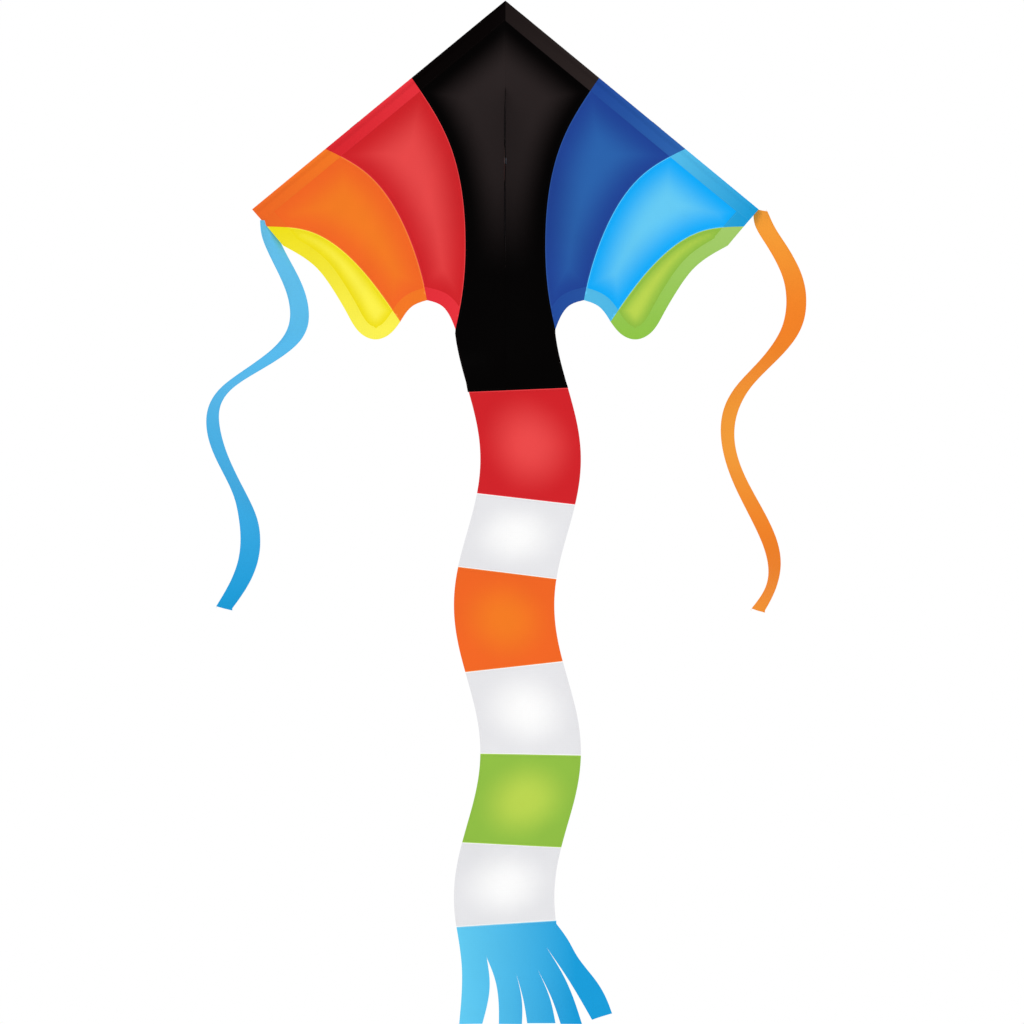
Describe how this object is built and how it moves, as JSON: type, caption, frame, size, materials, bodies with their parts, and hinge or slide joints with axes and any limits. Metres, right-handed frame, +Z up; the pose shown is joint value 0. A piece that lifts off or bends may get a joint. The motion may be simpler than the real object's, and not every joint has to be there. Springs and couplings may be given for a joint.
{
  "type": "delta kite",
  "caption": "Delta kite with coloured sail panels, spars in sleeves, a keel with a tow eyelet, a long banded tail with a fringe and a ribbon on each wing tip.",
  "frame": {"origin": "middle of the tow eyelet at the tip of the keel, where the flying line is tied", "axes": "+Z up towards the nose, +X to the viewer's right across the span, the belly and keel face -Y, the spars are on the +Y side"},
  "size_m": [1.3861, 0.2901, 2.3465],
  "materials": {
    "black_cloth": "satin",
    "red_cloth": "satin",
    "orange_cloth": "satin",
    "yellow_cloth": "satin",
    "dark_blue_cloth": "satin",
    "light_blue_cloth": "satin",
    "green_cloth": "satin",
    "white_cloth": "satin",
    "tail_blue_cloth": "satin",
    "blue_ribbon": "satin",
    "orange_ribbon": "satin",
    "rod": "satin",
    "moulded_fitting": "matte",
    "eyelet_metal": "satin"
  },
  "bodies": {
    "spine": {"spine_rod": "rod", "spine_sleeve": "black_cloth", "spine_nose_pocket": "black_cloth", "spine_tail_pocket": "black_cloth", "tail_black": "black_cloth"},
    "keel": {"keel_fin": "black_cloth", "keel_patch": "black_cloth", "tow_eyelet": "eyelet_metal"},
    "wing_left": {"sail_black_left": "black_cloth", "sail_red": "red_cloth", "sail_orange": "orange_cloth", "sail_yellow": "yellow_cloth", "edge_sleeve_black_left": "black_cloth", "edge_sleeve_red": "red_cloth", "edge_sleeve_orange": "orange_cloth", "leading_spar_left": "rod", "leading_spar_caps_left": "moulded_fitting", "spreader_hook_left": "moulded_fitting", "ribbon_left_sewn_end": "blue_ribbon"},
    "wing_right": {"sail_black_right": "black_cloth", "sail_dark_blue": "dark_blue_cloth", "sail_light_blue": "light_blue_cloth", "sail_green": "green_cloth", "edge_sleeve_black_right": "black_cloth", "edge_sleeve_dark_blue": "dark_blue_cloth", "edge_sleeve_light_blue": "light_blue_cloth", "leading_spar_right": "rod", "leading_spar_caps_right": "moulded_fitting", "spreader_hook_right": "moulded_fitting", "ribbon_right_sewn_end": "orange_ribbon"},
    "spreader": {"spreader_rod": "rod", "spreader_caps": "moulded_fitting"},
    "tail_red": {"tail_red": "red_cloth"},
    "tail_white_upper": {"tail_white_upper": "white_cloth"},
    "tail_orange": {"tail_orange": "orange_cloth"},
    "tail_white_middle": {"tail_white_middle": "white_cloth"},
    "tail_green": {"tail_green": "green_cloth"},
    "tail_white_lower": {"tail_white_lower": "white_cloth"},
    "tail_blue": {"tail_blue": "tail_blue_cloth"},
    "fringe_1": {"tail_fringe_1": "tail_blue_cloth"},
    "fringe_2": {"tail_fringe_2": "tail_blue_cloth"},
    "fringe_3": {"tail_fringe_3": "tail_blue_cloth"},
    "fringe_4": {"tail_fringe_4": "tail_blue_cloth"},
    "fringe_5": {"tail_fringe_5": "tail_blue_cloth"},
    "ribbon_left_upper": {"ribbon_left_upper": "blue_ribbon"},
    "ribbon_left_lower": {"ribbon_left_lower": "blue_ribbon"},
    "ribbon_right_upper": {"ribbon_right_upper": "orange_ribbon"},
    "ribbon_right_lower": {"ribbon_right_lower": "orange_ribbon"}
  },
  "joints": [
    {"name": "wing_left_fold", "type": "hinge", "parent": "spine", "child": "wing_left", "pos_m": [0, 0.19, 0], "axis": [0, 0, 1], "range_deg": [0, 75]},
    {"name": "wing_right_fold", "type": "hinge", "parent": "spine", "child": "wing_right", "pos_m": [0, 0.19, 0], "axis": [0, 0, -1], "range_deg": [0, 75]},
    {"name": "keel_swing", "type": "hinge", "parent": "spine", "child": "keel", "pos_m": [0, 0.19, 0], "axis": [0, 0, 1], "range_deg": [-10, 10]},
    {"name": "spreader_release", "type": "slide", "parent": "spine", "child": "spreader", "axis": [0, 1, 0], "range_m": [0, 0.06]},
    {"name": "tail_bend_1", "type": "hinge", "parent": "spine", "child": "tail_red", "pos_m": [0.02978, 0.204, -0.515], "axis": [0.9991, 0, 0.0419], "range_deg": [-20, 20]},
    {"name": "tail_bend_2", "type": "hinge", "parent": "tail_red", "child": "tail_white_upper", "pos_m": [0.04761, 0.17679, -0.766], "axis": [0.9934, 0, -0.1149], "range_deg": [-20, 20]},
    {"name": "tail_bend_3", "type": "hinge", "parent": "tail_white_upper", "child": "tail_orange", "pos_m": [0.0042, 0.19, -0.936], "axis": [0.9923, 0, -0.1236], "range_deg": [-20, 20]},
    {"name": "tail_bend_4", "type": "hinge", "parent": "tail_orange", "child": "tail_white_middle", "pos_m": [0.01988, 0.19921, -1.152], "axis": [0.994, 0, 0.1097], "range_deg": [-20, 20]},
    {"name": "tail_bend_5", "type": "hinge", "parent": "tail_white_middle", "child": "tail_green", "pos_m": [0.05795, 0.17601, -1.353], "axis": [0.9998, 0, -0.0192], "range_deg": [-20, 20]},
    {"name": "tail_bend_6", "type": "hinge", "parent": "tail_green", "child": "tail_white_lower", "pos_m": [0.01452, 0.19945, -1.562], "axis": [0.9986, 0, -0.0523], "range_deg": [-20, 20]},
    {"name": "tail_bend_7", "type": "hinge", "parent": "tail_white_lower", "child": "tail_blue", "pos_m": [0.00167, 0.19507, -1.743], "axis": [0.9979, 0, 0.0645], "range_deg": [-20, 20]},
    {"name": "fringe_swing_1", "type": "hinge", "parent": "tail_blue", "child": "fringe_1", "pos_m": [-0.078, 0.17798, -1.868], "axis": [1, 0, 0], "range_deg": [-40, 40]},
    {"name": "fringe_swing_2", "type": "hinge", "parent": "tail_blue", "child": "fringe_2", "pos_m": [0.008, 0.17798, -1.868], "axis": [1, 0, 0], "range_deg": [-40, 40]},
    {"name": "fringe_swing_3", "type": "hinge", "parent": "tail_blue", "child": "fringe_3", "pos_m": [0.062, 0.17798, -1.868], "axis": [1, 0, 0], "range_deg": [-40, 40]},
    {"name": "fringe_swing_4", "type": "hinge", "parent": "tail_blue", "child": "fringe_4", "pos_m": [0.12, 0.17798, -1.868], "axis": [1, 0, 0], "range_deg": [-40, 40]},
    {"name": "fringe_swing_5", "type": "hinge", "parent": "tail_blue", "child": "fringe_5", "pos_m": [0.173, 0.17798, -1.868], "axis": [1, 0, 0], "range_deg": [-40, 40]},
    {"name": "ribbon_left_swing", "type": "hinge", "parent": "wing_left", "child": "ribbon_left_upper", "pos_m": [-0.533, 0.272, -0.184], "axis": [1, 0, 0], "range_deg": [-60, 60]},
    {"name": "ribbon_left_bend", "type": "hinge", "parent": "ribbon_left_upper", "child": "ribbon_left_lower", "pos_m": [-0.677, 0.272, -0.591], "axis": [1, 0, 0], "range_deg": [-50, 50]},
    {"name": "ribbon_right_swing", "type": "hinge", "parent": "wing_right", "child": "ribbon_right_upper", "pos_m": [0.606, 0.272, -0.148], "axis": [1, 0, 0], "range_deg": [-60, 60]},
    {"name": "ribbon_right_bend", "type": "hinge", "parent": "ribbon_right_upper", "child": "ribbon_right_lower", "pos_m": [0.514, 0.272, -0.61], "axis": [1, 0, 0], "range_deg": [-50, 50]}
  ]
}
